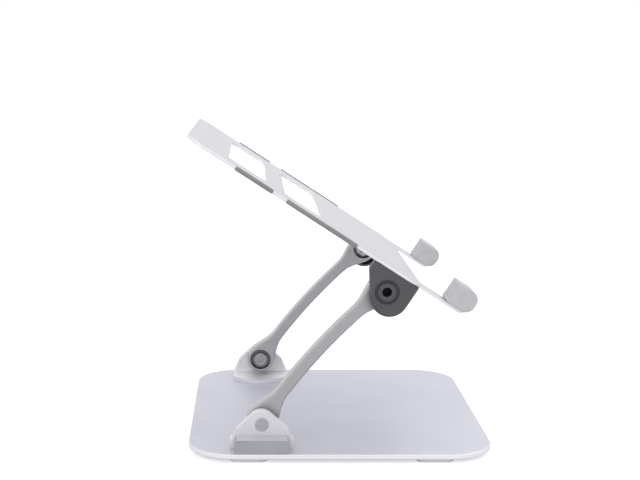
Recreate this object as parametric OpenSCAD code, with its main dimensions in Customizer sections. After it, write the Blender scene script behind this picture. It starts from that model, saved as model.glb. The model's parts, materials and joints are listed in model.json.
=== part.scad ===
// Laptop stand with two friction arms and a tilting tray.
// +X is the user's side, where the hooks are. +Y is the user's right, +Z is up.
// The origin is on the table, under the middle of the base plate.

/* [Base plate] */
// Depth of the base plate, from its rear edge to its front edge
base_depth = 230; // [215:1:270]
// Width of the base plate, from side to side
base_width = 240; // [232:1:260]
// Thickness of the base plate
base_thickness = 4; // [3.5:0.5:8]
// Radius of the base plate's corners
base_corner_r = 35; // [15:1:50]
// Chamfer round the edges of both plates
plate_chamfer = 0.6; // [0.3:0.1:1]

/* [Rubber feet] */
// Height of a rubber foot
foot_height = 3; // [2:0.5:6]
// Length of a rubber foot, along the side edge
foot_length = 28; // [15:1:40]
// Width of a rubber foot
foot_width = 11; // [8:0.5:16]
// Distance of a foot's centre from the front or rear edge
foot_end_inset = 46; // [38:1:60]
// Distance of a foot's outer side from the plate's side edge
foot_side_inset = 3; // [1.5:0.5:10]

/* [Foot brackets] */
// Distance of the lower pivots from the base plate's rear edge
pivot_inset = 55.6; // [50:0.2:62]
// Height of the lower pivots above the base plate's top
pivot_height = 18.7; // [17.8:0.1:24]
// Distance of an ear's outer face from the plate's side edge
ear_inset = 14; // [10:0.5:18]
// Thickness of an ear
ear_thickness = 6; // [5:0.5:9]
// Radius of an ear's rounded top
ear_top_r = 11; // [10:0.5:14]
// Radius of an ear's two shoulders, beside and below its top
ear_shoulder_r = 5; // [2:0.5:6]
// Distance of a shoulder's centre from the bracket's nearer end
ear_shoulder_inset = 9; // [8:0.5:10]
// Distance of a shoulder's centre below the pivot
ear_shoulder_drop = 6; // [4:0.5:7]
// Length of a bracket's foot, front to back
bracket_length = 48; // [40:1:56]
// Thickness of the bracket's foot flange
flange_thickness = 3.5; // [3.2:0.1:4.5]
// How far the D-shaped flange runs inboard of the ear
flange_reach = 29; // [24:1:36]
// Radius of the flange's curved inboard edge
flange_curve_r = 27; // [25:1:40]
// Radius of the fillet between an ear and its flange
bracket_fillet = 2.5; // [1:0.5:3]
// Chamfer on the edges of the bracket castings
casting_chamfer = 0.8; // [0.4:0.1:1.2]
// Distance of the inboard bracket screws from the ear's inner face
bracket_screw_inset = 6; // [4.5:0.5:10]

/* [Bracket covers] */
// Length of a bracket cover, front to back
cover_block_length = 40; // [30:1:46]
// Gap between a bracket cover's top and the pivot cap above it
cover_cap_gap = 3.2; // [0.4:0.1:4]
// Wall thickness of the moulded covers
cover_wall = 1.8; // [1.2:0.1:2.5]
// Gap between a bracket cover's wall and the tongue inside it
cover_tongue_gap = 1; // [0.5:0.1:2]
// Radius of a bracket cover's long top edges
cover_edge_r = 2.5; // [1:0.5:4]
// Distance of the cover's outer face from the plate's side edge
cover_block_inset = 0.6; // [0.2:0.1:3]

/* [Arms] */
// Distance between an arm's two pivots
arm_length = 136.4; // [130:0.2:150]
// Thickness of an arm, along its pivots
arm_thickness = 15; // [14:0.5:19]
// Width of an arm's waist
arm_waist = 8.5; // [8:0.5:14]
// Radius of the eye at each end of an arm
arm_eye_r = 11.5; // [11.5:0.1:13]
// How far the arm's middle is bowed up from the straight line
arm_bow = 5; // [0:0.5:8]
// Length over which an arm's waist flares out to its eye
arm_flare = 26; // [22:1:60]
// Chamfer along an arm's edges
arm_chamfer = 1.4; // [0.5:0.1:2.5]
// Angle of the arms above the table
arm_angle = 48; // [47:1:58]

/* [Pivot hardware] */
// Radius of the pivot screws' shanks
pivot_r = 4; // [3:0.25:4.5]
// Radial running clearance of the shanks in their bores
pivot_clearance = 0.05; // [0.02:0.01:0.1]
// Radius of the recess in an arm's inner face
recess_r = 9; // [8.4:0.1:9.5]
// Depth of that recess
recess_depth = 7; // [6.2:0.1:8]
// Radius of the washers
washer_r = 7.8; // [6.5:0.1:8]
// Thickness of a flat washer
flat_washer_thickness = 0.9; // [0.6:0.1:1.1]
// Height of an upper pivot nut
nut_height = 3.2; // [2.8:0.1:3.4]
// Thickness of a friction washer
friction_thickness = 0.4; // [0.3:0.05:0.8]
// Radius of a friction washer
friction_r = 10; // [8:0.5:11]
// Thickness of a disc spring's metal
disc_thickness = 0.8; // [0.6:0.1:1]
// Height of a disc spring's cone
disc_cone = 0.4; // [0.2:0.1:0.5]
// Radius of a pivot screw's head
screw_head_r = 5.6; // [4.8:0.1:6]
// Height of a pivot screw's head
screw_head_height = 2.8; // [2:0.1:3]
// Width across flats of the hexagon socket in a screw's head
socket_flats = 5; // [4:0.5:6]
// Width across flats of an upper pivot nut
nut_flats = 12; // [10:0.5:13]
// Axial play between pieces that turn against each other
play = 0.1; // [0.05:0.01:0.2]
// Radius of the lower pivot caps
cap_r = 5; // [4.4:0.1:6]
// How far a cap stands out from its ear
cap_height = 0.9; // [0.5:0.1:1.5]

/* [Hinge leaves] */
// Radius of a leaf's ear round the pivot
leaf_ear_r = 9.8; // [9:0.1:9.8]
// Chamfer on the edges of a leaf's ear
leaf_chamfer = 0.4; // [0.2:0.1:0.8]
// Thickness of a hinge leaf's upright ear
leaf_ear_thickness = 4; // [3:0.5:5]
// Thickness of a hinge leaf's top flange
leaf_flange_thickness = 2; // [1.6:0.1:3]
// Gap between an arm's eye and the leaf's flange above it
leaf_arm_gap = 1.3; // [0.4:0.1:2]
// Metal between a leaf's inboard edge and its nearest screws
leaf_margin = 5; // [4:0.5:10]

/* [Hinge covers] */
// How far a hinge cover runs behind its pivot
hinge_cover_rear = 20; // [19:0.5:26]
// Radius of a hinge cover's round underside
hinge_cover_r = 14; // [14:0.5:16]
// How far the centre of that round is ahead of the pivot
hinge_cover_shift = 4.5; // [3:0.5:4.5]
// How far the centre of that round is below the pivot
hinge_cover_drop = 3; // [1:0.5:3]
// Gap between a hinge cover's wall and the leaf inside it
hinge_cover_fit = 0.2; // [0.1:0.05:0.5]
// How far a hinge cover stands out beyond its leaf
hinge_cover_depth = 6; // [5.5:0.5:10]
// Outer radius of the ring groove round the screw in a hinge cover
ring_r = 9; // [8.4:0.1:9.6]
// Width of that groove
ring_width = 2.4; // [0.8:0.1:2.6]
// Depth of that groove
ring_depth = 1.1; // [0.5:0.1:1.2]
// Chamfer round a hinge cover's outer face
cover_chamfer = 2; // [0.8:0.1:2.2]
// How far the disc inside the groove stands out
disc_height = 0.6; // [0.2:0.1:1.2]
// Radius of the hole over a pivot screw's socket
socket_hole_r = 3.6; // [3.3:0.1:4.5]
// Radius of the cover's pegs, in the leaf
peg_r = 1.5; // [1.2:0.1:1.8]
// Wall of the cover's bosses, round the pegs
peg_boss_wall = 0.8; // [0.5:0.1:1.2]
// Distance of the pegs from the ends of the leaf
peg_inset = 4.5; // [4:0.5:6]

/* [Tray] */
// Width of the tray, from side to side
tray_width = 220; // [214:1:226]
// Thickness of the tray plate
tray_thickness = 2.2; // [2:0.1:4]
// How far the tray runs behind its pivots
tray_rear = 184; // [176:1:200]
// How far the tray's panel runs in front of its pivots
tray_front = 22; // [18:1:26]
// Radius of the tray's corners
tray_corner_r = 14; // [8:1:20]
// Tilt of the tray, with its rear edge raised
tray_angle = 33; // [30:1:45]
// Length of each window, along the tilt
window_length = 34; // [26:1:36]
// Width of each window, from side to side
window_width = 150; // [110:1:160]
// Radius of the windows' corners
window_corner_r = 7; // [3:0.5:12]
// Distance of the rear window's rear edge behind the pivots
rear_window_at = 149; // [146:1:152]
// Distance of the front window's rear edge behind the pivots
front_window_at = 99; // [95:1:101]

/* [Hooks] */
// Width of a hook's metal tab
hook_width = 20; // [18:1:34]
// Distance of a hook's tab from the tray's side edge
hook_side_inset = 5; // [4:0.5:16]
// Distance of a hook's front face in front of the pivots
hook_front = 58; // [50:1:62]
// Height of a hook's upright above the tray's top
hook_height = 13; // [9:0.5:16]
// Inner radius of the bend at the foot of the upright
hook_bend_r = 4; // [2:0.5:6]

/* [Silicone pads] */
// Depth of a hook pad, along the tray
pad_depth = 20; // [16:0.5:26]
// Height of a hook pad above the tray's top
pad_height = 17.5; // [14:0.5:20]
// Thickness of the silicone round a hook's upright
pad_skin = 3; // [2:0.5:4]
// Radius of a hook pad's outer corners
pad_corner_r = 7; // [3:0.5:8]
// Gap between the silicone and the metal it holds
pad_fit = 0.1; // [0.05:0.01:0.2]
// Thickness of an edge grip's two lips, above and below the tray
grip_skin = 0.6; // [0.4:0.1:1.5]
// How far the lips of an edge grip run in from the tray's side edge
grip_reach = 3.5; // [2.5:0.5:8]
// Distance of the rear grips' rear ends behind the pivots
rear_grip_at = 142; // [138:1:160]
// Distance of the front grips' rear ends behind the pivots
front_grip_at = 98; // [92:1:102]
// Length of the rear edge grips
rear_grip_length = 32; // [20:1:35]
// Length of the front edge grips
front_grip_length = 61; // [40:1:70]

/* [Small screws] */
// Shank radius of the bracket screws
bracket_screw_r = 2; // [1.5:0.1:2.5]
// Head radius of the countersunk bracket screws
bracket_head_r = 3.8; // [3:0.1:4.2]
// Shank radius of the leaf screws
leaf_screw_r = 1.5; // [1:0.1:2]
// Head radius of the leaf screws
leaf_head_r = 2.9; // [2.4:0.1:3.2]
// Head height of the leaf screws
leaf_head_height = 1.6; // [1:0.1:2]
// Gap between an arm's inner face and the nearest screw heads
leaf_head_gap = 0.8; // [0.6:0.1:2]
// Distance between the two rows of leaf screws
leaf_screw_pitch = 9; // [8:0.5:12]
// Gap between a small screw and its hole
screw_gap = 0.1; // [0.05:0.01:0.2]
// Metal left beyond the blind end of a screw hole
blind_skin = 0.8; // [0.6:0.1:1.2]

/* [Hidden] */
$fn = 64;

// Colours
silver = [0.80, 0.80, 0.84];
arm_grey = [0.72, 0.72, 0.74];
dark_grey = [0.33, 0.33, 0.35];
mid_grey = [0.50, 0.51, 0.53];
silicone_grey = [0.76, 0.76, 0.77];
steel = [0.62, 0.63, 0.65];

// Levels and planes. Side planes are distances from the middle of the stand.
eps = 0.01;
left = -1;
right = 1;
sides = [left, right];
pivot_setback = base_depth / 2 - pivot_inset;
base_top = foot_height + base_thickness;
pivot_z = base_top + pivot_height;
ear_outer = base_width / 2 - ear_inset;
ear_inner = ear_outer - ear_thickness;
arm_outer = ear_inner - friction_thickness - play;
arm_inner = arm_outer - arm_thickness;
recess_floor = arm_inner + recess_depth;
leaf_outer = ear_inner + leaf_ear_thickness;
hinge_cover_outer = leaf_outer + hinge_cover_depth;
bore_r = pivot_r + pivot_clearance;
cover_block_height = pivot_height - cap_r - cover_cap_gap;
tongue_reach = ear_inset - cover_block_inset - cover_wall - cover_tongue_gap;

// Heights above the upper pivots, in the tray's own frame
leaf_under = arm_eye_r + leaf_arm_gap;
tray_lift = leaf_under + leaf_flange_thickness;
hook_offset = tray_width / 2 - hook_side_inset - hook_width / 2;

// Ends of a hinge leaf, inside its cover
leaf_front = hinge_cover_r + hinge_cover_shift - cover_wall - hinge_cover_fit;
leaf_rear = hinge_cover_rear - cover_wall - hinge_cover_fit;

// Upper pivots, in the resting pose
upper_x = -pivot_setback + arm_length * cos(arm_angle);
upper_z = pivot_z + arm_length * sin(arm_angle);

// Stack of spring washers on a recess floor
disc_gap = play / 2;
spring_height = disc_thickness + disc_cone;
stack_height = play + flat_washer_thickness + 2 * spring_height + 3 * disc_gap;
head_seat = recess_floor - stack_height;
thread_end = head_seat - nut_height - 3 * play;

// Places of the small screws, [along X from the pivot, distance from the middle]
bracket_screw_end = bracket_length * 0.28;
bracket_screw_spots = [
    [-bracket_screw_end, ear_inner - bracket_screw_inset],
    [bracket_screw_end, ear_inner - bracket_screw_inset],
    [0, ear_outer + tongue_reach / 2]
];
leaf_screw_row = arm_inner - leaf_head_r - leaf_head_gap;
leaf_screw_end = leaf_front - leaf_margin;
leaf_inner = leaf_screw_row - leaf_screw_pitch - leaf_margin;
leaf_screw_spots = [
    for (x = [-leaf_screw_end, leaf_screw_end], row = [0, 1])
        [x, leaf_screw_row - row * leaf_screw_pitch]
];

// ---------- frames ----------

// Turns a left-hand piece, drawn at positive distances, to either side
module side(s) {
    mirror([0, s < 0 ? 1 : 0, 0])
        children();
}

// Stands a piece in an arm's own frame: X along the arm from its lower pivot, Z away from the bow's inside
module on_arm() {
    translate([-pivot_setback, 0, pivot_z])
        rotate([0, -arm_angle, 0])
            children();
}

// Stands a piece in the tray's own frame: X forwards along the tray and Z out of it, from the upper pivots
module on_tray() {
    translate([upper_x, 0, upper_z])
        rotate([0, tray_angle, 0])
            children();
}

module at_lower_pivot() {
    translate([-pivot_setback, 0, pivot_z])
        children();
}

// Round solid about the Y axis between two side planes
module disc_y(r, from, to) {
    translate([0, from, 0])
        rotate([-90, 0, 0])
            cylinder(r = r, h = to - from);
}

// Hexagonal prism about the Y axis between two side planes
module hex_y(flats, from, to) {
    translate([0, from, 0])
        rotate([-90, 0, 0])
            cylinder(r = flats / 2 / cos(30), h = to - from, $fn = 6);
}

// Flat outline in X and Z, made thick along Y between two side planes
module upright_sheet(from, to) {
    translate([0, to, 0])
        rotate([90, 0, 0])
            linear_extrude(height = to - from)
                children();
}

// ---------- shared solids ----------

// Slab with rounded corners and chamfered top and bottom edges, centred in X and Y, standing on Z 0
module chamfered_slab(l, w, r, t, c) {
    profile_x = [
        [-l / 2 + c, 0], [l / 2 - c, 0], [l / 2, c], [l / 2, t - c],
        [l / 2 - c, t], [-l / 2 + c, t], [-l / 2, t - c], [-l / 2, c]
    ];
    profile_y = [
        [-w / 2 + c, 0], [w / 2 - c, 0], [w / 2, c], [w / 2, t - c],
        [w / 2 - c, t], [-w / 2 + c, t], [-w / 2, t - c], [-w / 2, c]
    ];
    if (w > 2 * r + eps)
        upright_sheet(-w / 2 + r, w / 2 - r)
            polygon(profile_x);
    if (l > 2 * r + eps)
        translate([-l / 2 + r, 0, 0])
            rotate([90, 0, 90])
                linear_extrude(height = l - 2 * r)
                    polygon(profile_y);
    for (x = [-1, 1], y = [-1, 1])
        translate([x * (l / 2 - r), y * (w / 2 - r), 0])
            rotate_extrude()
                polygon([[0, 0], [r - c, 0], [r, c], [r, t - c], [r - c, t], [0, t]]);
}

// Plain slab with rounded corners, for cutting
module rounded_cut(l, w, r, t) {
    linear_extrude(height = t)
        union() {
            square([l - 2 * r, w], center = true);
            square([l, w - 2 * r], center = true);
            for (x = [-1, 1], y = [-1, 1])
                translate([x * (l / 2 - r), y * (w / 2 - r)])
                    circle(r = r);
        }
}

// Solid between two matching outlines: full size in the middle, the smaller one at both faces.
// An outline that isn't convex is given with the convex tiles, as lists of its points, that fill it.
module bevelled(full, small, t, c, tiles = []) {
    n = len(full);
    parts = len(tiles) > 0 ? tiles : [[for (i = [0:n - 1]) i]];
    levels = [0, c, t - c, t];
    rings = [small, full, full, small];
    points = [for (k = [0:3], p = rings[k]) [p[0], p[1], levels[k]]];
    walls = [
        for (k = [0:2], i = [0:n - 1])
            [k * n + i, (k + 1) * n + i, (k + 1) * n + (i + 1) % n, k * n + (i + 1) % n]
    ];
    floors = parts;
    roofs = [for (part = parts) [for (i = [len(part) - 1:-1:0]) 3 * n + part[i]]];
    polyhedron(points, concat(walls, floors, roofs), convexity = 4);
}

// Stands a bevelled solid upright, between two side planes
module bevelled_y(full, small, from, to, c, tiles = []) {
    translate([0, to, 0])
        rotate([90, 0, 0])
            bevelled(full, small, to - from, c, tiles);
}

// Points of an arc, without its end points
function arc(centre, r, from, to, n) = [
    for (i = [1:n - 1])
        let (a = from + (to - from) * i / n)
            [centre[0] + r * cos(a), centre[1] + r * sin(a)]
];

// Direction, seen from a circle's centre, of the point where a tangent from an outside point touches it
function tangent_angle(centre, r, point, turn) =
    let (
        d = point - centre,
        span = norm(d)
    )
    atan2(d[1], d[0]) + turn * acos(r / span);

function on_circle(centre, r, a) = [centre[0] + r * cos(a), centre[1] + r * sin(a)];

// ---------- base ----------

// Countersunk hole, from the underside of the base plate
module bracket_screw_hole() {
    shank = bracket_screw_r + screw_gap;
    head = bracket_head_r + screw_gap;
    translate([0, 0, -eps])
        cylinder(r = shank, h = base_top + eps);
    translate([0, 0, foot_height])
        cylinder(r1 = head, r2 = shank, h = head - shank);
    cylinder(r = head, h = foot_height + eps);
}

module at_bracket_screws() {
    for (s = sides, spot = bracket_screw_spots)
        translate([-pivot_setback + spot[0], s * spot[1], 0])
            children();
}

module base_plate() {
    color(silver)
        difference() {
            translate([0, 0, foot_height])
                chamfered_slab(base_depth, base_width, base_corner_r, base_thickness, plate_chamfer);
            at_bracket_screws()
                bracket_screw_hole();
        }
}

module base_feet() {
    x = base_depth / 2 - foot_end_inset;
    y = base_width / 2 - foot_side_inset - foot_width / 2;
    color(silicone_grey)
        for (i = [-1, 1], s = sides)
            translate([i * x, s * y, 0])
                chamfered_slab(foot_length, foot_width, foot_width / 2 - eps, foot_height, plate_chamfer);
}

// ---------- foot brackets ----------

// Outline of an ear: a round top and two rounded shoulders, joined and carried down by straight tangents
function ear_outline(inset) =
    let (
        top_r = ear_top_r - inset,
        r = ear_shoulder_r - inset,
        shoulder = [bracket_length / 2 - ear_shoulder_inset, -ear_shoulder_drop],
        half = bracket_length / 2 - inset,
        low = -pivot_height,
        corner = [half, low + flange_thickness],
        a = tangent_angle(shoulder, r, corner, 1),
        b = atan2(shoulder[1], shoulder[0]) + acos((top_r - r) / norm(shoulder)),
        right_side = concat(
            [[half, low], corner, on_circle(shoulder, r, a)],
            arc(shoulder, r, a, b, 8),
            [on_circle(shoulder, r, b), on_circle([0, 0], top_r, b)]
        )
    )
    concat(
        right_side,
        arc([0, 0], top_r, b, 180 - b, 20),
        [for (i = [len(right_side) - 1:-1:0]) [-right_side[i][0], right_side[i][1]]]
    );

// D-shaped foot flange, inboard of the ear, with a curved inner edge
module bracket_flange() {
    half = bracket_length / 2;
    inner = ear_inner - flange_reach;
    corner = flange_reach - (flange_curve_r - sqrt(flange_curve_r * flange_curve_r - half * half));
    translate([0, 0, -pivot_height])
        linear_extrude(height = flange_thickness)
            intersection() {
                translate([-half, inner])
                    square([2 * half, flange_reach + 1]);
                union() {
                    translate([0, inner + flange_curve_r])
                        circle(r = flange_curve_r, $fn = 96);
                    translate([-half, ear_inner - corner])
                        square([2 * half, corner + 1]);
                }
            }
}

// Outboard tongue of the foot, under the bracket cover
module bracket_tongue() {
    half = cover_block_length / 2 - cover_wall - cover_tongue_gap;
    lap = ear_thickness / 2;
    translate([-half, ear_outer - lap, -pivot_height])
        cube([2 * half, tongue_reach + lap, flange_thickness]);
}

// Fillet that runs along the inside corner of ear and flange
module bracket_inside_fillet() {
    r = bracket_fillet;
    length = bracket_length - 2 * casting_chamfer;
    translate([-length / 2, ear_inner, flange_thickness - pivot_height])
        rotate([90, 0, 90])
            linear_extrude(height = length)
                difference() {
                    translate([-r, -r / 2])
                        square([1.5 * r, 1.5 * r]);
                    translate([-r, r])
                        circle(r = r);
                }
}

module foot_bracket(s) {
    c = casting_chamfer;
    color(arm_grey)
        side(s)
            difference() {
                at_lower_pivot()
                    union() {
                        bevelled_y(ear_outline(0), ear_outline(c), ear_inner, ear_outer, c);
                        bracket_flange();
                        bracket_inside_fillet();
                        bracket_tongue();
                    }
                at_lower_pivot()
                    disc_y(bore_r, ear_inner - 1, ear_outer + 1);
                for (spot = bracket_screw_spots)
                    translate([-pivot_setback + spot[0], spot[1], base_top - eps])
                        cylinder(r = bracket_screw_r + screw_gap, h = flange_thickness - blind_skin + eps);
            }
}

// Moulded block over the bracket's outboard tongue
module bracket_cover(s) {
    depth = ear_inset - cover_block_inset;
    l = cover_block_length;
    h = cover_block_height;
    round_r = cover_edge_r;
    color(mid_grey)
        side(s)
            translate([-pivot_setback, ear_outer, base_top])
                difference() {
                    translate([0, depth, 0])
                        rotate([90, 0, 0])
                            linear_extrude(height = depth)
                                union() {
                                    translate([-l / 2, 0])
                                        square([l, h - round_r]);
                                    translate([-l / 2 + round_r, 0])
                                        square([l - 2 * round_r, h]);
                                    for (i = [-1, 1])
                                        translate([i * (l / 2 - round_r), h - round_r])
                                            circle(r = round_r);
                                }
                    translate([-l / 2 + cover_wall, -1, -1])
                        cube([l - 2 * cover_wall, depth - cover_wall + 1, h - cover_wall + 1]);
                }
}

module bracket_screws() {
    shank_top = base_top + flange_thickness - blind_skin - screw_gap;
    cone = bracket_head_r - bracket_screw_r;
    color(steel)
        at_bracket_screws()
            difference() {
                union() {
                    translate([0, 0, foot_height])
                        cylinder(r1 = bracket_head_r, r2 = bracket_screw_r, h = cone);
                    translate([0, 0, foot_height + cone / 2])
                        cylinder(r = bracket_screw_r, h = shank_top - foot_height - cone / 2);
                }
                translate([0, 0, foot_height - eps])
                    cylinder(r = bracket_screw_r * 0.7, h = cone * 0.7, $fn = 6);
            }
}

// ---------- pivot hardware ----------

// Cap-head screw about the Y axis: the head at one plane, the shank towards the other
module pivot_screw(head_from, head_to, shank_from, shank_to, socket_in_low_face) {
    depth = (head_to - head_from) * 0.7;
    difference() {
        union() {
            disc_y(screw_head_r, head_from, head_to);
            disc_y(pivot_r, shank_from, shank_to);
        }
        if (socket_in_low_face)
            hex_y(socket_flats, head_from - 1, head_from + depth);
        else
            hex_y(socket_flats, head_to - depth, head_to + 1);
    }
}

// Screw from the arm's recess into the ear
module lower_pivot_screw(s) {
    head_from = head_seat - screw_head_height;
    shank_end = ear_inner + ear_thickness * 0.55;
    color(steel)
        side(s)
            at_lower_pivot()
                pivot_screw(head_from, head_seat, head_seat - eps, shank_end, true);
}

// Push-in plug over the screw's end, in the ear's outer face
module lower_pivot_cap(s) {
    plug = ear_thickness * 0.35;
    color(mid_grey)
        side(s)
            at_lower_pivot()
                union() {
                    disc_y(pivot_r, ear_outer - plug, ear_outer + eps);
                    translate([0, ear_outer, 0])
                        rotate([-90, 0, 0])
                            rotate_extrude()
                                polygon([
                                    [0, 0], [cap_r, 0], [cap_r, cap_height / 2],
                                    [cap_r - cap_height / 2, cap_height], [0, cap_height]
                                ]);
                }
}

module friction_washer() {
    difference() {
        disc_y(friction_r, ear_inner - friction_thickness, ear_inner);
        disc_y(bore_r, ear_inner - 1, ear_inner + 1);
    }
}

module lower_friction_washer(s) {
    color(dark_grey)
        side(s)
            at_lower_pivot()
                friction_washer();
}

module upper_friction_washer(s) {
    color(dark_grey)
        side(s)
            on_tray()
                friction_washer();
}

// Coned disc about the Y axis. Its outer rim is at the low side plane unless it is flipped.
module disc_spring(from, flipped) {
    inner = bore_r;
    cone = disc_cone;
    t = disc_thickness;
    section = flipped
        ? [[inner, 0], [washer_r, cone], [washer_r, cone + t], [inner, t]]
        : [[inner, cone], [washer_r, 0], [washer_r, t], [inner, cone + t]];
    translate([0, from, 0])
        rotate([-90, 0, 0])
            rotate_extrude()
                polygon(section);
}

// Flat washer and two disc springs, back to back, between the recess floor and the head or nut
module spring_washers() {
    flat_from = recess_floor - play - flat_washer_thickness;
    difference() {
        disc_y(washer_r, flat_from, flat_from + flat_washer_thickness);
        disc_y(bore_r, flat_from - 1, flat_from + flat_washer_thickness + 1);
    }
    disc_spring(flat_from - disc_gap - spring_height, true);
    disc_spring(flat_from - 2 * disc_gap - 2 * spring_height, false);
}

module lower_spring_washers(s) {
    color(steel)
        side(s)
            at_lower_pivot()
                spring_washers();
}

module upper_spring_washers(s) {
    color(steel)
        side(s)
            on_tray()
                spring_washers();
}

// Screw from the hinge cover's ring, through leaf and arm, to the nut in the arm's recess
module upper_pivot_screw(s) {
    head_to = leaf_outer + screw_head_height;
    color(dark_grey)
        side(s)
            on_tray()
                pivot_screw(leaf_outer, head_to, thread_end, leaf_outer + eps, false);
}

module upper_nut(s) {
    color(steel)
        side(s)
            on_tray()
                difference() {
                    hex_y(nut_flats, head_seat - nut_height, head_seat);
                    disc_y(bore_r, head_seat - nut_height - 1, head_seat + 1);
                }
}

// ---------- arms ----------

arm_steps = 24;
eye_steps = 20;
// Slope of the bowed centre line where it leaves a pivot
arm_end_slope = atan(4 * arm_bow / arm_length);

function arm_centre(t) = [arm_length * t, 4 * arm_bow * t * (1 - t)];
function arm_slope(t) = atan(4 * arm_bow * (1 - 2 * t) / arm_length);
function arm_flare_at(t) =
    let (from_end = arm_length * min(t, 1 - t))
    from_end < arm_flare ? (1 + cos(180 * from_end / arm_flare)) / 2 : 0;
function arm_half(t) = arm_waist / 2 + (arm_eye_r - arm_waist / 2) * arm_flare_at(t);
// Point of an arm's edge: side 1 is the upper edge, side -1 the lower
function arm_edge(t, edge, inset) =
    let (
        c = arm_centre(t),
        a = arm_slope(t),
        h = edge * (arm_half(t) - inset)
    )
    [c[0] - h * sin(a), c[1] + h * cos(a)];

// Whole outline of an arm, drawn in by the inset
function arm_outline(inset) = concat(
    [for (i = [0:arm_steps]) arm_edge(i / arm_steps, -1, inset)],
    arc([arm_length, 0], arm_eye_r - inset, -90 - arm_end_slope, 90 - arm_end_slope, eye_steps),
    [for (i = [arm_steps:-1:0]) arm_edge(i / arm_steps, 1, inset)],
    arc([0, 0], arm_eye_r - inset, 90 + arm_end_slope, 270 + arm_end_slope, eye_steps)
);

// Convex tiles that fill an arm's outline: a half disc at each eye and a strip between them
arm_tip = arm_steps + eye_steps;
arm_tiles = concat(
    [for (i = [0:arm_steps - 1]) [i, i + 1, arm_tip + arm_steps - i - 1, arm_tip + arm_steps - i]],
    [[for (i = [arm_steps:arm_tip]) i]],
    [concat([for (i = [arm_tip + arm_steps:arm_tip + arm_steps + eye_steps - 1]) i], [0])]
);

module arm(s) {
    color(arm_grey)
        side(s)
            on_arm()
                difference() {
                    bevelled_y(
                        arm_outline(0), arm_outline(arm_chamfer),
                        arm_inner, arm_outer, arm_chamfer, arm_tiles
                    );
                    for (x = [0, arm_length])
                        translate([x, 0, 0]) {
                            disc_y(bore_r, arm_inner - 1, arm_outer + 1);
                            disc_y(recess_r, arm_inner - 1, recess_floor);
                        }
                }
}

// ---------- tray ----------

// Outline of a leaf's ear: round under the pivot, straight sides up to the flange
function leaf_outline(inset) =
    let (
        r = leaf_ear_r - inset,
        rear = [-leaf_rear + inset, leaf_under],
        front = [leaf_front - inset, leaf_under],
        from = tangent_angle([0, 0], r, rear, 1),
        to = 360 + tangent_angle([0, 0], r, front, -1)
    )
    concat(
        [[rear[0], tray_lift - inset], rear, on_circle([0, 0], r, from)],
        arc([0, 0], r, from, to, 24),
        [on_circle([0, 0], r, to), front, [front[0], tray_lift - inset]]
    );

module hinge_leaf(s) {
    bevel = leaf_chamfer;
    flange_length = leaf_rear + leaf_front - 2 * bevel;
    color(steel)
        side(s)
            on_tray()
                difference() {
                    union() {
                        bevelled_y(leaf_outline(0), leaf_outline(bevel), ear_inner, leaf_outer, bevel);
                        translate([-leaf_rear + bevel, leaf_inner, leaf_under])
                            cube([flange_length, ear_inner - leaf_inner + 1, leaf_flange_thickness]);
                    }
                    disc_y(bore_r, ear_inner - 1, leaf_outer + 1);
                    for (spot = leaf_screw_spots)
                        translate([spot[0], spot[1], leaf_under - 1])
                            cylinder(r = leaf_screw_r + screw_gap, h = leaf_flange_thickness + 2);
                    for (x = peg_spots)
                        translate([x, 0, peg_height])
                            disc_y(peg_r + screw_gap, ear_inner - 1, leaf_outer + 1);
                }
}

// Pegs of the hinge cover, pressed into the leaf
peg_height = leaf_under - 2 * peg_r;
peg_spots = [-leaf_rear + peg_inset, leaf_front - peg_inset];

// Outline of a hinge cover: flat on top, round below and ahead, with a straight run up to its rear end
function hinge_cover_outline(inset) =
    let (
        top = tray_lift - play,
        r = hinge_cover_r - inset,
        centre = [hinge_cover_shift, -hinge_cover_drop],
        rear = -hinge_cover_rear + inset,
        heel = [rear, tray_lift / 2 + inset * 0.4],
        a = tangent_angle(centre, r, heel, 1)
    )
    concat(
        [[centre[0] + r, top], [rear, top], heel, on_circle(centre, r, a)],
        arc(centre, r, a, 360, 24),
        [[centre[0] + r, 0]]
    );

// Shell of a hinge cover, open towards the arm
module hinge_cover_shell() {
    bevel = cover_chamfer;
    skirt_from = ear_inner + play;
    span = 2 * (hinge_cover_rear + hinge_cover_r);
    difference() {
        bevelled_y(
            hinge_cover_outline(0), hinge_cover_outline(bevel),
            skirt_from - bevel, hinge_cover_outer, bevel
        );
        translate([-span / 2, skirt_from - span, -span / 2])
            cube(span);
        upright_sheet(skirt_from - 1, hinge_cover_outer - cover_wall)
            union() {
                polygon(hinge_cover_outline(cover_wall));
                translate([-leaf_rear - hinge_cover_fit, peg_height])
                    square([leaf_rear + leaf_front + 2 * hinge_cover_fit, tray_lift]);
            }
    }
}

// Ring groove in a hinge cover's outer face
module ring_groove() {
    difference() {
        disc_y(ring_r, hinge_cover_outer - ring_depth, hinge_cover_outer + eps);
        disc_y(ring_r - ring_width, hinge_cover_outer - 2 * ring_depth, hinge_cover_outer + ring_depth);
    }
}

module hinge_cover(s) {
    pocket_gap = 0.3;
    pocket_r = screw_head_r + pocket_gap;
    pocket_end = leaf_outer + screw_head_height + pocket_gap;
    boss_end = hinge_cover_outer - cover_wall;
    face = hinge_cover_outer + disc_height;
    color(dark_grey)
        side(s)
            on_tray()
                difference() {
                    union() {
                        hinge_cover_shell();
                        disc_y(ring_r - ring_width, hinge_cover_outer - eps, face);
                        disc_y(ring_r, leaf_outer + play, hinge_cover_outer - eps);
                        for (x = peg_spots)
                            translate([x, 0, peg_height]) {
                                disc_y(peg_r + peg_boss_wall, leaf_outer + play, boss_end);
                                disc_y(peg_r, ear_inner + play, leaf_outer + play + eps);
                            }
                    }
                    disc_y(pocket_r, leaf_outer - 1, pocket_end);
                    disc_y(socket_hole_r, leaf_outer, face + 1);
                    ring_groove();
                }
}

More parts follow.
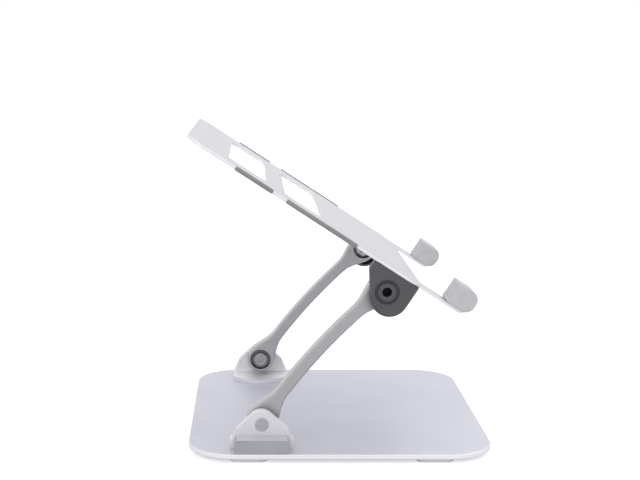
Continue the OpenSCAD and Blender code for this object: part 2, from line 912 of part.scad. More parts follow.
module leaf_screws() {
    shank_top = tray_lift + tray_thickness - blind_skin - screw_gap;
    head_low = leaf_under - leaf_head_height;
    socket_depth = leaf_head_height * 0.6;
    color(steel)
        for (s = sides)
            side(s)
                on_tray()
                    for (spot = leaf_screw_spots)
                        translate([spot[0], spot[1], 0])
                            difference() {
                                union() {
                                    translate([0, 0, head_low])
                                        cylinder(r = leaf_head_r, h = leaf_head_height);
                                    translate([0, 0, leaf_under - eps])
                                        cylinder(r = leaf_screw_r, h = shank_top - leaf_under + eps);
                                }
                                translate([0, 0, head_low - eps])
                                    cylinder(r = leaf_screw_r, h = socket_depth, $fn = 6);
                            }
}

// Section of a hook: its tab, the bend and the upright, drawn fatter by grow
module hook_section(grow) {
    t = tray_thickness;
    outer = hook_bend_r + t;
    length = hook_front - tray_front + 6;
    translate([hook_front - length, 0]) {
        translate([0, -grow])
            square([length - outer, t + 2 * grow]);
        translate([length - t - grow, outer])
            square([t + 2 * grow, hook_height + t - outer + grow]);
        translate([length - outer, outer])
            intersection() {
                difference() {
                    circle(r = outer + grow);
                    circle(r = hook_bend_r - grow);
                }
                translate([0, -outer - grow])
                    square(outer + grow);
            }
    }
}

module tray_plate() {
    length = tray_rear + tray_front;
    color(silver)
        on_tray()
            difference() {
                union() {
                    translate([tray_front - length / 2, 0, tray_lift])
                        chamfered_slab(length, tray_width, tray_corner_r, tray_thickness, plate_chamfer);
                    for (s = sides)
                        translate([0, s * hook_offset, tray_lift])
                            upright_sheet(-hook_width / 2, hook_width / 2)
                                hook_section(0);
                }
                for (x = [-rear_window_at, -front_window_at])
                    translate([x + window_length / 2, 0, tray_lift - 1])
                        rounded_cut(window_length, window_width, window_corner_r, tray_thickness + 2);
                for (s = sides, spot = leaf_screw_spots)
                    translate([spot[0], s * spot[1], tray_lift - eps])
                        cylinder(r = leaf_screw_r + screw_gap, h = tray_thickness - blind_skin + eps);
            }
}

// ---------- silicone ----------

module hook_pad(s) {
    width = hook_width + 2 * pad_skin;
    front = hook_front + pad_skin;
    rear = front - pad_depth;
    r = pad_corner_r;
    low = tray_thickness + pad_fit;
    top = tray_thickness + pad_height;
    color(silicone_grey)
        side(s)
            on_tray()
                translate([0, hook_offset, tray_lift])
                    difference() {
                        upright_sheet(-width / 2, width / 2)
                            union() {
                                translate([rear, low])
                                    square([pad_depth - r, top - low]);
                                translate([front - r - eps, low + r])
                                    square([r + eps, top - low - 2 * r]);
                                for (z = [low + r, top - r])
                                    translate([front - r, z])
                                        circle(r = r);
                            }
                        upright_sheet(-hook_width / 2 - pad_fit, hook_width / 2 + pad_fit)
                            hook_section(pad_fit);
                    }
}

// Channel with a half-round nose, pushed over the tray's side edge
module edge_grip(s, rear_end, length) {
    slot = tray_thickness + 2 * pad_fit;
    height = slot + 2 * grip_skin;
    color(dark_grey)
        side(s)
            on_tray()
                translate([-rear_end, tray_width / 2 + pad_fit, tray_lift + tray_thickness / 2])
                    rotate([90, 0, 90])
                        linear_extrude(height = length)
                            difference() {
                                union() {
                                    translate([-grip_reach, -height / 2])
                                        square([grip_reach, height]);
                                    circle(r = height / 2);
                                }
                                translate([-2 * grip_reach, -slot / 2])
                                    square([2 * grip_reach, slot]);
                            }
}

base_plate();
base_feet();
foot_bracket(left);  // foot_bracket_left
foot_bracket(right);  // foot_bracket_right
bracket_cover(left);  // bracket_cover_left
bracket_cover(right);  // bracket_cover_right
bracket_screws();
lower_pivot_screw(left);  // lower_pivot_screw_left
lower_pivot_screw(right);  // lower_pivot_screw_right
lower_pivot_cap(left);  // lower_pivot_cap_left
lower_pivot_cap(right);  // lower_pivot_cap_right
lower_friction_washer(left);  // lower_friction_washer_left
lower_friction_washer(right);  // lower_friction_washer_right
lower_spring_washers(left);  // lower_spring_washers_left
lower_spring_washers(right);  // lower_spring_washers_right
arm(left);  // arm_left
arm(right);  // arm_right
upper_friction_washer(left);  // upper_friction_washer_left
upper_friction_washer(right);  // upper_friction_washer_right
upper_spring_washers(left);  // upper_spring_washers_left
upper_spring_washers(right);  // upper_spring_washers_right
upper_pivot_screw(left);  // upper_pivot_screw_left
upper_pivot_screw(right);  // upper_pivot_screw_right
upper_nut(left);  // upper_nut_left
upper_nut(right);  // upper_nut_right
hinge_leaf(left);  // hinge_leaf_left
hinge_leaf(right);  // hinge_leaf_right
hinge_cover(left);  // hinge_cover_left
hinge_cover(right);  // hinge_cover_right
leaf_screws();
tray_plate();
hook_pad(left);  // hook_pad_left
hook_pad(right);  // hook_pad_right
edge_grip(left, front_grip_at, front_grip_length);  // edge_grip_front_left
edge_grip(right, front_grip_at, front_grip_length);  // edge_grip_front_right
edge_grip(left, rear_grip_at, rear_grip_length);  // edge_grip_rear_left
edge_grip(right, rear_grip_at, rear_grip_length);  // edge_grip_rear_right
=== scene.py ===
# A folding laptop stand: a flat base plate, a pair of friction arms, and a windowed tray
# with padded hooks along its front edge. Left is the -Y side, and the user sits at +X.
import json
import math

import bpy
from mathutils import Euler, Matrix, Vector


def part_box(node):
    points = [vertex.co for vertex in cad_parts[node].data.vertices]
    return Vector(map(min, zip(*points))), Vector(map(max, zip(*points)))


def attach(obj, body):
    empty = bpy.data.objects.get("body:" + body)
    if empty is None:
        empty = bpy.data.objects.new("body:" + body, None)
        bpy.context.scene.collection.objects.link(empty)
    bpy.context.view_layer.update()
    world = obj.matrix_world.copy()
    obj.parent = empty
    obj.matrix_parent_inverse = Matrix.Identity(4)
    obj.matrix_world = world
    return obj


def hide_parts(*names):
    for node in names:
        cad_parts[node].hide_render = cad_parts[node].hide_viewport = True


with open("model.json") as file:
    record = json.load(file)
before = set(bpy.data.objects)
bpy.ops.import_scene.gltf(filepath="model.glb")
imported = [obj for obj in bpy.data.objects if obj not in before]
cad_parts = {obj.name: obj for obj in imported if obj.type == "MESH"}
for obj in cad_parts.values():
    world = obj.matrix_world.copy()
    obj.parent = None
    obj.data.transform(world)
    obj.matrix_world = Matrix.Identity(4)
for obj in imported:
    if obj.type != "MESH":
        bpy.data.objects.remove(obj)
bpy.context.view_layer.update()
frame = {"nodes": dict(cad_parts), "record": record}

# ---- Studio ------------------------------------------------------------------------------
# A pale table in a white room. A broad lamp hangs high over the stand's front right corner
# and a weaker one stands on its left, so that upward faces are brighter than upright ones.
white = (1, 1, 1, 1)
table_colour = (0.82, 0.82, 0.82, 1)
table_reach = 6.0
table_glow = 0.58
room_colour = (0.98, 0.98, 1, 1)
room_light = 0.70

table_corners = ((-1, -1), (1, -1), (1, 1), (-1, 1))
table_mesh = bpy.data.meshes.new("table_top")
table_mesh.from_pydata(
    [(x * table_reach, y * table_reach, 0) for x, y in table_corners], [], [(0, 1, 2, 3)]
)
table_top = bpy.data.objects.new("table_top", table_mesh)
bpy.context.collection.objects.link(table_top)

table_paint = bpy.data.materials.new("table_paint")
table_paint.use_nodes = True
tree = table_paint.node_tree
paint = tree.nodes["Principled BSDF"]
paint.inputs["Base Color"].default_value = table_colour
paint.inputs["Roughness"].default_value = 0.9
paint.inputs["Specular IOR Level"].default_value = 0.1
rays = tree.nodes.new("ShaderNodeLightPath")
glow = tree.nodes.new("ShaderNodeEmission")
glow.inputs["Color"].default_value = white
glow_if_seen = tree.nodes.new("ShaderNodeMath")
glow_if_seen.operation = "MULTIPLY"
glow_if_seen.inputs[1].default_value = table_glow
together = tree.nodes.new("ShaderNodeAddShader")
tree.links.new(rays.outputs["Is Camera Ray"], glow_if_seen.inputs[0])
tree.links.new(glow_if_seen.outputs[0], glow.inputs["Strength"])
tree.links.new(paint.outputs[0], together.inputs[0])
tree.links.new(glow.outputs[0], together.inputs[1])
tree.links.new(together.outputs[0], tree.nodes["Material Output"].inputs["Surface"])
table_mesh.materials.append(table_paint)

room = bpy.data.worlds.new("white_room")
bpy.context.scene.world = room
room.use_nodes = True
tree = room.node_tree
tree.nodes.clear()
rays = tree.nodes.new("ShaderNodeLightPath")
seen = tree.nodes.new("ShaderNodeMath")
seen.operation = "MAXIMUM"
mirrored = tree.nodes.new("ShaderNodeMath")
mirrored.operation = "MAXIMUM"
lamp_light = tree.nodes.new("ShaderNodeBackground")
lamp_light.inputs["Color"].default_value = room_colour
lamp_light.inputs["Strength"].default_value = room_light
white_wall = tree.nodes.new("ShaderNodeBackground")
white_wall.inputs["Color"].default_value = white
choose = tree.nodes.new("ShaderNodeMixShader")
room_output = tree.nodes.new("ShaderNodeOutputWorld")
tree.links.new(rays.outputs["Is Camera Ray"], seen.inputs[0])
tree.links.new(rays.outputs["Is Glossy Ray"], seen.inputs[1])
tree.links.new(seen.outputs[0], mirrored.inputs[0])
tree.links.new(rays.outputs["Is Transmission Ray"], mirrored.inputs[1])
tree.links.new(mirrored.outputs[0], choose.inputs[0])
tree.links.new(lamp_light.outputs[0], choose.inputs[1])
tree.links.new(white_wall.outputs[0], choose.inputs[2])
tree.links.new(choose.outputs[0], room_output.inputs["Surface"])

# Each lamp has a strength, the width that it fills in the sky, and its turn, in degrees.
lamps = {
    "high_right_lamp": (0.82, 75, (-18, 20, 0)),
    "side_fill_lamp": (0.62, 70, (62, 0, -20)),
}
for lamp_name, (strength, width, turn) in lamps.items():
    lamp_data = bpy.data.lights.new(lamp_name, "SUN")
    lamp_data.energy = strength
    lamp_data.angle = math.radians(width)
    lamp = bpy.data.objects.new(lamp_name, lamp_data)
    lamp.rotation_euler = Euler([math.radians(a) for a in turn])
    bpy.context.collection.objects.link(lamp)

# The camera stands on the stand's left, a little above the upper pivots, and looks across it.
camera_place = (-0.0649, -0.9856, 0.3054)
camera_tip = math.radians(9.07)
camera_data = bpy.data.cameras.new("side_camera")
camera_data.sensor_width = 36
camera_data.lens = 68.9
camera_data.shift_x = 0.1025
camera = bpy.data.objects.new("side_camera", camera_data)
camera.location = camera_place
camera.rotation_euler = Euler((math.pi / 2 - camera_tip, 0, 0))
bpy.context.collection.objects.link(camera)
bpy.context.scene.camera = camera
bpy.context.scene.view_settings.view_transform = "Standard"

# ---- Base plate --------------------------------------------------------------------------
# A sheet of aluminium with large round corners, cut, chamfered, bead blasted and clear
# anodised. It keeps a pale, slightly violet silver with a very fine grain.
nodes = frame["nodes"]
base_silver = (0.655, 0.655, 0.73)
base_edge_painted_highlight = (0.93, 0.93, 0.96)
film_tint = (0.78, 0.78, 0.82, 1)


def new_finish(name, colour, metal, roughness):
    """A material with its main shader's plain values set; gives back the material."""
    finish = bpy.data.materials.new(name)
    finish.use_nodes = True
    shader = finish.node_tree.nodes["Principled BSDF"]
    shader.inputs["Base Color"].default_value = (*colour, 1)
    shader.inputs["Metallic"].default_value = metal
    shader.inputs["Roughness"].default_value = roughness
    return finish


def grain(finish, size, detail):
    """Noise in the stand's own metres, with marks of about that size."""
    tree = finish.node_tree
    place = tree.nodes.new("ShaderNodeTexCoord")
    noise = tree.nodes.new("ShaderNodeTexNoise")
    noise.inputs["Scale"].default_value = 1 / size
    noise.inputs["Detail"].default_value = detail
    tree.links.new(place.outputs["Object"], noise.inputs["Vector"])
    return noise.outputs["Fac"]


def vary_colour(finish, marks, colour, darkest, lightest):
    """Shifts the colour from its darkest to its lightest share over the grain's middle."""
    tree = finish.node_tree
    shades = tree.nodes.new("ShaderNodeValToRGB")
    ends = shades.color_ramp.elements
    for stop, position, share in ((ends[0], 0.35, darkest), (ends[1], 0.65, lightest)):
        stop.position = position
        stop.color = (*(min(1, part * share) for part in colour), 1)
    tree.links.new(marks, shades.inputs["Fac"])
    tree.links.new(shades.outputs["Color"], tree.nodes["Principled BSDF"].inputs["Base Color"])


def vary_roughness(finish, marks, low, high):
    """Takes the roughness from low to high over the grain's middle."""
    tree = finish.node_tree
    spread = tree.nodes.new("ShaderNodeMapRange")
    spread.inputs["From Min"].default_value = 0.3
    spread.inputs["From Max"].default_value = 0.7
    spread.inputs["To Min"].default_value = low
    spread.inputs["To Max"].default_value = high
    tree.links.new(marks, spread.inputs["Value"])
    tree.links.new(spread.outputs["Result"], tree.nodes["Principled BSDF"].inputs["Roughness"])


def roughen(finish, marks, depth, strength, edge):
    """Raises the grain by a small depth, and softens every edge by the edge radius."""
    tree = finish.node_tree
    rounded = tree.nodes.new("ShaderNodeBevel")
    rounded.samples = 4
    rounded.inputs["Radius"].default_value = edge
    bump = tree.nodes.new("ShaderNodeBump")
    bump.inputs["Strength"].default_value = strength
    bump.inputs["Distance"].default_value = depth
    tree.links.new(marks, bump.inputs["Height"])
    tree.links.new(rounded.outputs["Normal"], bump.inputs["Normal"])
    tree.links.new(bump.outputs["Normal"], tree.nodes["Principled BSDF"].inputs["Normal"])


def blasted_anodised(name, colour):
    """Bead-blasted aluminium under a clear anodic film: a fine even grain with soft clouds."""
    finish = new_finish(name, colour, metal=0.35, roughness=0.42)
    film = finish.node_tree.nodes["Principled BSDF"].inputs["Specular Tint"]
    film.default_value = film_tint
    clouds = grain(finish, size=0.045, detail=3)
    beads = grain(finish, size=0.00035, detail=1)
    vary_colour(finish, clouds, colour, darkest=0.98, lightest=1.02)
    vary_roughness(finish, beads, low=0.36, high=0.50)
    roughen(finish, beads, depth=0.00002, strength=0.30, edge=0.0004)
    return finish


def paint_light_by_facing(finish, axis, shade, start, full):
    """Paints light into the colour: blends in a shade as a face's closeness to the axis goes
    from start to full.

    The closeness is 1 on a face square to the axis, and 0 on one that runs along it.
    """
    tree = finish.node_tree
    shader = tree.nodes["Principled BSDF"]
    skin_shade = shader.inputs["Base Color"].links[0].from_socket
    place = tree.nodes.new("ShaderNodeTexCoord")
    facing = tree.nodes.new("ShaderNodeVectorMath")
    facing.operation = "DOT_PRODUCT"
    facing.inputs[1].default_value = axis
    closeness = tree.nodes.new("ShaderNodeMath")
    closeness.operation = "ABSOLUTE"
    amount = tree.nodes.new("ShaderNodeMapRange")
    amount.inputs["From Min"].default_value = start
    amount.inputs["From Max"].default_value = full
    blend = tree.nodes.new("ShaderNodeMix")
    blend.data_type = "RGBA"
    blend.inputs["B"].default_value = (*shade, 1)
    tree.links.new(place.outputs["Normal"], facing.inputs[0])
    tree.links.new(facing.outputs["Value"], closeness.inputs[0])
    tree.links.new(closeness.outputs[0], amount.inputs["Value"])
    tree.links.new(amount.outputs["Result"], blend.inputs["Factor"])
    tree.links.new(skin_shade, blend.inputs["A"])
    tree.links.new(blend.outputs["Result"], shader.inputs["Base Color"])


def dress(node_name, finish):
    """Puts a finish on a piece of the frame."""
    for place in nodes[node_name].material_slots:
        place.material = finish


base_finish = blasted_anodised("base_anodised", base_silver)
# Painted highlight: the chamfers and side faces are blended towards a paler silver.
paint_light_by_facing(base_finish, (0, 0, 1), base_edge_painted_highlight, start=0.9, full=0.6)
dress("base_plate", base_finish)

# ---- Rubber feet -------------------------------------------------------------------------
# Pads of milky silicone with half-round ends, moulded with a soft lower edge and stuck
# into place under the side edges of the base plate.
foot_length = 0.028
foot_width = 0.011
foot_edge = 0.0009
foot_colour = (0.86, 0.865, 0.88)


def skin(name, rings):
    """A closed piece over rings that have equal counts of points, with flat ends."""
    count = len(rings[0])
    points = [point for ring in rings for point in ring]
    faces = [tuple(range(count))[::-1]]
    for ring in range(len(rings) - 1):
        near, far = ring * count, (ring + 1) * count
        for i in range(count):
            j = (i + 1) % count
            faces.append((near + i, near + j, far + j, far + i))
    faces.append(tuple((len(rings) - 1) * count + i for i in range(count)))
    mesh = bpy.data.meshes.new(name)
    mesh.from_pydata(points, [], faces)
    mesh.polygons.foreach_set("use_smooth", [True] * len(faces))
    mesh.set_sharp_from_angle(angle=math.radians(50))
    piece = bpy.data.objects.new(name, mesh)
    bpy.context.collection.objects.link(piece)
    return piece


def bend(centre_x, centre_y, r, start, end, steps):
    """Points of an arc from one angle to another, in degrees, both ends included."""
    points = []
    for k in range(steps + 1):
        a = math.radians(start + (end - start) * k / steps)
        points.append((centre_x + r * math.cos(a), centre_y + r * math.sin(a)))
    return points


def stadium(length, width):
    """Points round a flat shape with half-round ends, anticlockwise."""
    r = width / 2
    straight = length / 2 - r
    return bend(straight, 0, r, -90, 90, steps=12) + bend(-straight, 0, r, 90, 270, steps=12)


def quarter_round(r, steps=5):
    """A rounded edge as pairs: the height left above the face, and the inset there."""
    angles = [math.radians(90 * k / steps) for k in range(steps + 1)]
    return [(r * (1 - math.sin(a)), r * (1 - math.cos(a))) for a in angles]


def silicone(name, colour, milkiness):
    """Matt silicone: soft light inside it, a satin skin and a little dust."""
    finish = new_finish(name, colour, metal=0, roughness=0.55)
    shader = finish.node_tree.nodes["Principled BSDF"]
    shader.inputs["Subsurface Weight"].default_value = milkiness
    shader.inputs["Subsurface Radius"].default_value = (1, 1, 1)
    shader.inputs["Subsurface Scale"].default_value = 0.001
    shader.inputs["Sheen Weight"].default_value = 0.15
    shader.inputs["Sheen Roughness"].default_value = 0.4
    dust = grain(finish, size=0.006, detail=5)
    pores = grain(finish, size=0.00025, detail=2)
    vary_colour(finish, dust, colour, darkest=0.95, lightest=1.05)
    vary_roughness(finish, dust, low=0.48, high=0.62)
    roughen(finish, pores, depth=0.00003, strength=0.4, edge=0.0003)
    return finish


foot_silicone = silicone("foot_silicone", foot_colour, milkiness=0.5)
feet_low, feet_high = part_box("base_feet")
foot_ends = (("rear", feet_low.x + foot_length / 2), ("front", feet_high.x - foot_length / 2))
foot_sides = (("left", feet_low.y + foot_width / 2), ("right", feet_high.y - foot_width / 2))
foot_levels = [(feet_high.z, 0)] + quarter_round(foot_edge)
for end, x in foot_ends:
    for side, y in foot_sides:
        rings = []
        for level, inset in reversed(foot_levels):
            outline = stadium(foot_length - 2 * inset, foot_width - 2 * inset)
            rings.append([(x + px, y + py, level) for px, py in outline])
        foot = skin(f"silicone_foot_{end}_{side}", rings)
        foot.data.materials.append(foot_silicone)
        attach(foot, "base")
        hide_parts("base_feet")

# ---- Foot brackets -----------------------------------------------------------------------
# Die castings that stand the arms on the base plate: an upright ear with a round top on a
# D-shaped flange. They are screwed on from below and coated in fine silver powder, with
# painted light making upward faces a shade paler.
sides = ("left", "right")
bracket_silver = (0.75, 0.745, 0.78)
bracket_top_painted_light = (0.90, 0.90, 0.91)


def powder_coat(name, colour):
    """Satin silver powder under clear lacquer: fine metal flecks and a faint orange peel."""
    finish = new_finish(name, colour, metal=0.20, roughness=0.42)
    shader = finish.node_tree.nodes["Principled BSDF"]
    shader.inputs["Coat Weight"].default_value = 0.7
    shader.inputs["Coat Roughness"].default_value = 0.22
    flecks = grain(finish, size=0.0004, detail=1)
    peel = grain(finish, size=0.0018, detail=2)
    vary_colour(finish, flecks, colour, darkest=0.90, lightest=1.08)
    vary_roughness(finish, peel, low=0.34, high=0.46)
    roughen(finish, peel, depth=0.00006, strength=0.35, edge=0.0006)
    return finish


bracket_coat = powder_coat("bracket_powder_coat", bracket_silver)
# Painted light: faces that turn upwards are blended towards a paler silver.
paint_light_by_facing(bracket_coat, (0, 0, 1), bracket_top_painted_light, start=0.75, full=0.95)
for side in sides:
    dress(f"foot_bracket_{side}", bracket_coat)

# ---- Bracket covers ----------------------------------------------------------------------
# Moulded blocks that clip over the outer tongues of the foot brackets, in mid grey plastic
# with the fine matt texture of a spark-eroded mould, and painted light making the top paler.
bracket_cover_grey = (0.38, 0.385, 0.41)
bracket_cover_top_painted_light = (0.60, 0.605, 0.64)


def moulded_plastic(name, colour, roughness):
    """Matt moulded plastic with an even, very fine leathery texture."""
    finish = new_finish(name, colour, metal=0, roughness=roughness)
    texture = grain(finish, size=0.0003, detail=2)
    flow = grain(finish, size=0.02, detail=2)
    vary_colour(finish, flow, colour, darkest=0.93, lightest=1.07)
    vary_roughness(finish, texture, low=roughness - 0.06, high=roughness + 0.08)
    roughen(finish, texture, depth=0.00005, strength=0.5, edge=0.0005)
    return finish


bracket_plastic = moulded_plastic("bracket_cover_plastic", bracket_cover_grey, roughness=0.5)
# Painted light: the top faces are blended towards a paler grey.
paint_light_by_facing(bracket_plastic, (0, 0, 1), bracket_cover_top_painted_light, start=0.75, full=0.95)
for side in sides:
    dress(f"bracket_cover_{side}", bracket_plastic)

# ---- Bracket screws ----------------------------------------------------------------------
# Countersunk machine screws in zinc-plated steel, turned and then plated, driven up through
# the base plate into the castings.
zinc_grey = (0.48, 0.48, 0.50)


def turned_steel(name, colour, roughness):
    """Turned and plated steel with faint tool marks and a little staining."""
    finish = new_finish(name, colour, metal=1, roughness=roughness)
    marks = grain(finish, size=0.0006, detail=4)
    stain = grain(finish, size=0.004, detail=3)
    vary_colour(finish, stain, colour, darkest=0.88, lightest=1.06)
    vary_roughness(finish, marks, low=roughness - 0.06, high=roughness + 0.10)
    roughen(finish, marks, depth=0.00002, strength=0.3, edge=0.0002)
    return finish


zinc_steel = turned_steel("zinc_steel", zinc_grey, roughness=0.34)
dress("bracket_screws", zinc_steel)

# ---- Lower pivots ------------------------------------------------------------------------
# A shouldered screw holds each arm against its ear, on a black nylon friction washer, with
# a pack of disc springs under its head. A plastic cap closes the ear's outer face.
nylon_black = (0.03, 0.03, 0.032)
cap_grey = (0.45, 0.445, 0.48)
pivot_grey = (0.40, 0.40, 0.415)
spring_grey = (0.20, 0.20, 0.206)
nylon = moulded_plastic("black_nylon", nylon_black, roughness=0.42)
cap_plastic = moulded_plastic("cap_plastic", cap_grey, roughness=0.38)
pivot_steel = turned_steel("pivot_steel", pivot_grey, roughness=0.36)
spring_steel = turned_steel("spring_steel", spring_grey, roughness=0.40)
for side in sides:
    dress(f"lower_pivot_screw_{side}", pivot_steel)
    dress(f"lower_spring_washers_{side}", spring_steel)
    dress(f"lower_friction_washer_{side}", nylon)
    dress(f"lower_pivot_cap_{side}", cap_plastic)

# ---- Arms --------------------------------------------------------------------------------
# Bowed die castings with an eye at each end, narrow in the waist, with bevelled edges and
# the same kind of silver powder coat as their brackets, in a deeper shade.
arm_silver = (0.41, 0.41, 0.425)


def shade_recesses(finish, reach, darkest):
    """Painted shade: a darker colour in hollows and joints about as wide as the reach."""
    tree = finish.node_tree
    shader = tree.nodes["Principled BSDF"]
    skin_shade = shader.inputs["Base Color"].links[0].from_socket
    openness = tree.nodes.new("ShaderNodeAmbientOcclusion")
    openness.samples = 6
    openness.inputs["Distance"].default_value = reach
    share = tree.nodes.new("ShaderNodeMapRange")
    share.inputs["From Min"].default_value = 0.55
    share.inputs["From Max"].default_value = 0.95
    share.inputs["To Min"].default_value = darkest
    share.inputs["To Max"].default_value = 1
    blend = tree.nodes.new("ShaderNodeMix")
    blend.data_type = "RGBA"
    blend.blend_type = "MULTIPLY"
    blend.inputs["Factor"].default_value = 1
    tree.links.new(openness.outputs["AO"], share.inputs["Value"])
    tree.links.new(skin_shade, blend.inputs["A"])
    tree.links.new(share.outputs["Result"], blend.inputs["B"])
    tree.links.new(blend.outputs["Result"], shader.inputs["Base Color"])


arm_coat = powder_coat("arm_powder_coat", arm_silver)
# Painted shade: the coat darkens where the arms pass close to the ears, washers and covers.
shade_recesses(arm_coat, reach=0.006, darkest=0.55)
for side in sides:
    dress(f"arm_{side}", arm_coat)

# ---- Hinge leaves ------------------------------------------------------------------------
# Pressed steel angles under the tray, zinc plated, each with an ear that turns on the
# upper pivot and a flange that is screwed up into the tray.
leaf_grey = (0.50, 0.50, 0.52)
leaf_steel = turned_steel("leaf_steel", leaf_grey, roughness=0.38)
for side in sides:
    dress(f"hinge_leaf_{side}", leaf_steel)
dress("leaf_screws", zinc_steel)

# ---- Upper pivots ------------------------------------------------------------------------
# Dark socket screws through leaf and arm, with a nut, disc springs and a friction washer,
# which hold the tray at any tilt.
oxide_black = (0.012, 0.012, 0.014)
dark_steel = turned_steel("dark_oxide_steel", oxide_black, roughness=0.36)
for side in sides:
    dress(f"upper_pivot_screw_{side}", dark_steel)
    dress(f"upper_nut_{side}", zinc_steel)
    dress(f"upper_spring_washers_{side}", spring_steel)
    dress(f"upper_friction_washer_{side}", nylon)

# ---- Hinge covers ------------------------------------------------------------------------
# Dark grey moulded shells over the outside of the hinges. A raised ring surrounds the hole
# that leaves the pivot screw's socket in reach, and painted shade darkens the groove round it.
hinge_cover_grey = (0.078, 0.077, 0.084)
hinge_plastic = moulded_plastic("hinge_cover_plastic", hinge_cover_grey, roughness=0.42)
# Painted shade: the groove round the ring and other narrow hollows are darkened.
shade_recesses(hinge_plastic, reach=0.003, darkest=0.35)
for side in sides:
    dress(f"hinge_cover_{side}", hinge_plastic)

# ---- Tray --------------------------------------------------------------------------------
# One sheet of aluminium with two wide windows, bent up at the front into a pair of hooks,
# and finished like the base plate.
record = frame["record"]
mounts = {mount["name"]: mount for mount in record["mounts"]}
tray_up = Vector(mounts["laptop_rest_face"]["axis"])
tray_silver = (0.66, 0.655, 0.68)
tray_edge_painted_highlight = (0.86, 0.86, 0.88)
tray_finish = blasted_anodised("tray_anodised", tray_silver)
# Painted highlight: the sheet's chamfers and side faces are blended towards a paler silver.
paint_light_by_facing(tray_finish, tray_up, tray_edge_painted_highlight, start=0.9, full=0.6)
dress("tray_plate", tray_finish)

# ---- Edge grips --------------------------------------------------------------------------
# Slim dark silicone channels pushed over the tray's side edges, so that the laptop rests
# on rubber. They are moulded with a half-round nose, thin lips and one shallow groove.
joints = {joint["name"]: joint for joint in record["behaviour"]["joints"]}
tray_pivot = Vector(joints["tray_tilt"]["pos_m"])
tray_forward = Vector((tray_up.z, 0, -tray_up.x))
tray_across = Vector((0, 1, 0))
rubber_gap = 0.0001
grip_lip_r = 0.00025
grip_lip_share = 0.45
grip_groove = 0.00015
grip_groove_width = 0.0007
grip_end = 0.0008
grip_low_trim = 0.0003
grip_lip_trim = 0.0008
grip_colour = (0.25, 0.25, 0.254)


def on_tray(forward, across, up):
    """A point given along the tray, across it and out of it, from the upper pivots."""
    return tray_pivot + forward * tray_forward + across * tray_across + up * tray_up


def tray_extent(node_name):
    """Lowest and highest place of a frame piece along the tray, across it and out of it."""
    spots = [vertex.co - tray_pivot for vertex in nodes[node_name].data.vertices]
    extents = []
    for direction in (tray_forward, tray_across, tray_up):
        places = [spot.dot(direction) for spot in spots]
        extents.append((min(places), max(places)))
    return extents


_, plate_across, plate_up = tray_extent("tray_plate")
_, _, pad_up = tray_extent("hook_pad_left")
slot_end = plate_across[1] + rubber_gap
slot_low = plate_up[0] - rubber_gap
slot_top = pad_up[0]  # a pad's foot clears the sheet's top face by the same gap


def grip_section(inner, low, top, inset):
    """The channel's section, from its slot round the lips and nose, shrunk by the inset."""
    inner += inset
    low += inset
    top -= inset
    nose_r = (top - low) / 2
    lip_r = min(grip_lip_r, (slot_low - low) * grip_lip_share)
    groove = (inner + slot_end) / 2
    points = [(slot_end, slot_low), (inner, slot_low)]
    points += bend(inner + lip_r, low + lip_r, lip_r, 180, 270, steps=3)
    points += bend(slot_end, (low + top) / 2, nose_r, -90, 90, steps=12)
    points += [(groove + grip_groove_width / 2, top), (groove, top - grip_groove)]
    points += [(groove - grip_groove_width / 2, top)]
    points += bend(inner + lip_r, top - lip_r, lip_r, 90, 180, steps=3)
    points += [(inner, slot_top), (slot_end, slot_top)]
    return points


def rounded_ends(rear, front):
    """Places along a grip, each with the inset of its section, for two soft ends."""
    soft_end = [(0, grip_end / 2), (grip_end * 0.3, grip_end * 0.15), (grip_end, 0)]
    places = [(rear + along, inset) for along, inset in soft_end]
    return places + [(front - along, inset) for along, inset in reversed(soft_end)]


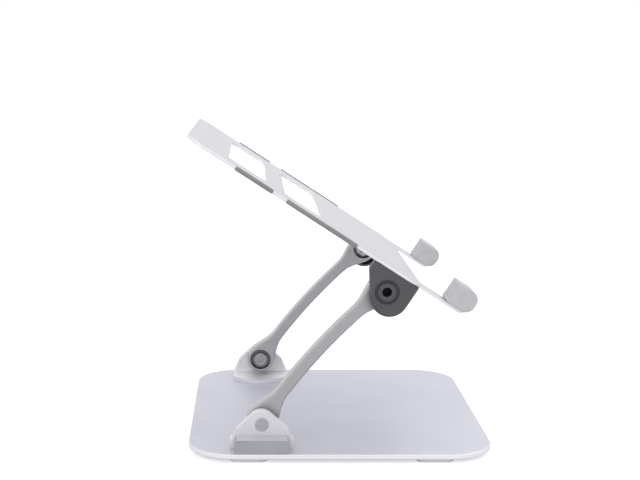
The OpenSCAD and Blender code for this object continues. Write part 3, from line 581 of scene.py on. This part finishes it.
grip_silicone = silicone("grip_silicone", grip_colour, milkiness=0.02)
for place in ("front", "rear"):
    for side, outward in (("left", -1), ("right", 1)):
        along, across, up = tray_extent(f"edge_grip_{place}_{side}")
        inner = min(abs(edge) for edge in across) + grip_lip_trim
        rings = []
        for forward, inset in rounded_ends(*along):
            section = grip_section(inner, up[0] + grip_low_trim, up[1], inset)
            if side == "right":
                section.reverse()  # so that the mirrored skin still faces outwards
            rings.append([on_tray(forward, outward * y, z) for y, z in section])
        grip = skin(f"grip_{place}_{side}", rings)
        grip.data.materials.append(grip_silicone)
        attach(grip, "tray")
        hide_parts(f"edge_grip_{place}_{side}")

# ---- Hook pads ---------------------------------------------------------------------------
# Thick light grey silicone sleeves pulled down over the hooks. They are round at the front,
# flat behind with fine ribs, and keep the laptop from sliding off.
pad_front_r = 0.0075
pad_rear_r = 0.0014
pad_least_r = 0.0002
pad_side_r = 0.0018
pad_ribs = 6
pad_rib_depth = 0.0004
pad_rib_margin = 0.003
pad_colour = (0.56, 0.555, 0.57)
# One rib and its groove, as shares of the pitch downwards and of the depth inwards.
pad_rib = ((0, 0), (0.25, 1), (0.6, 1), (0.85, 0))


def pad_outline(rear, front, low, top, inset):
    """A pad's side view, shrunk by the inset; the ribs fade out towards its sides."""
    rear += inset
    front -= inset
    low += inset
    top -= inset
    front_r = pad_front_r - inset
    rear_r = max(pad_rear_r - inset, pad_least_r)
    points = bend(rear + rear_r, low + rear_r, rear_r, 180, 270, steps=4)
    points += bend(front - front_r, low + front_r, front_r, 270, 360, steps=10)
    points += bend(front - front_r, top - front_r, front_r, 0, 90, steps=10)
    points += bend(rear + rear_r, top - rear_r, rear_r, 90, 180, steps=4)
    depth = pad_rib_depth * max(0, 1 - inset / pad_side_r)
    pitch = (top - low - 2 * pad_rib_margin) / pad_ribs
    for k in range(pad_ribs):
        rib_top = top - pad_rib_margin - k * pitch
        points += [(rear + depth * inward, rib_top - pitch * down) for down, inward in pad_rib]
    return points


pad_silicone = silicone("pad_silicone", pad_colour, milkiness=0.25)
pad_edge = quarter_round(pad_side_r)
for side in sides:
    along, across, up = tray_extent(f"hook_pad_{side}")
    stations = [(across[0] + depth, inset) for depth, inset in reversed(pad_edge)]
    stations += [(across[1] - depth, inset) for depth, inset in pad_edge]
    rings = []
    for y, inset in stations:
        outline = pad_outline(*along, *up, inset)
        rings.append([on_tray(forward, y, z) for forward, z in reversed(outline)])
    pad = skin(f"hook_sleeve_{side}", rings)
    pad.data.materials.append(pad_silicone)
    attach(pad, "tray")
    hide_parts(f"hook_pad_{side}")
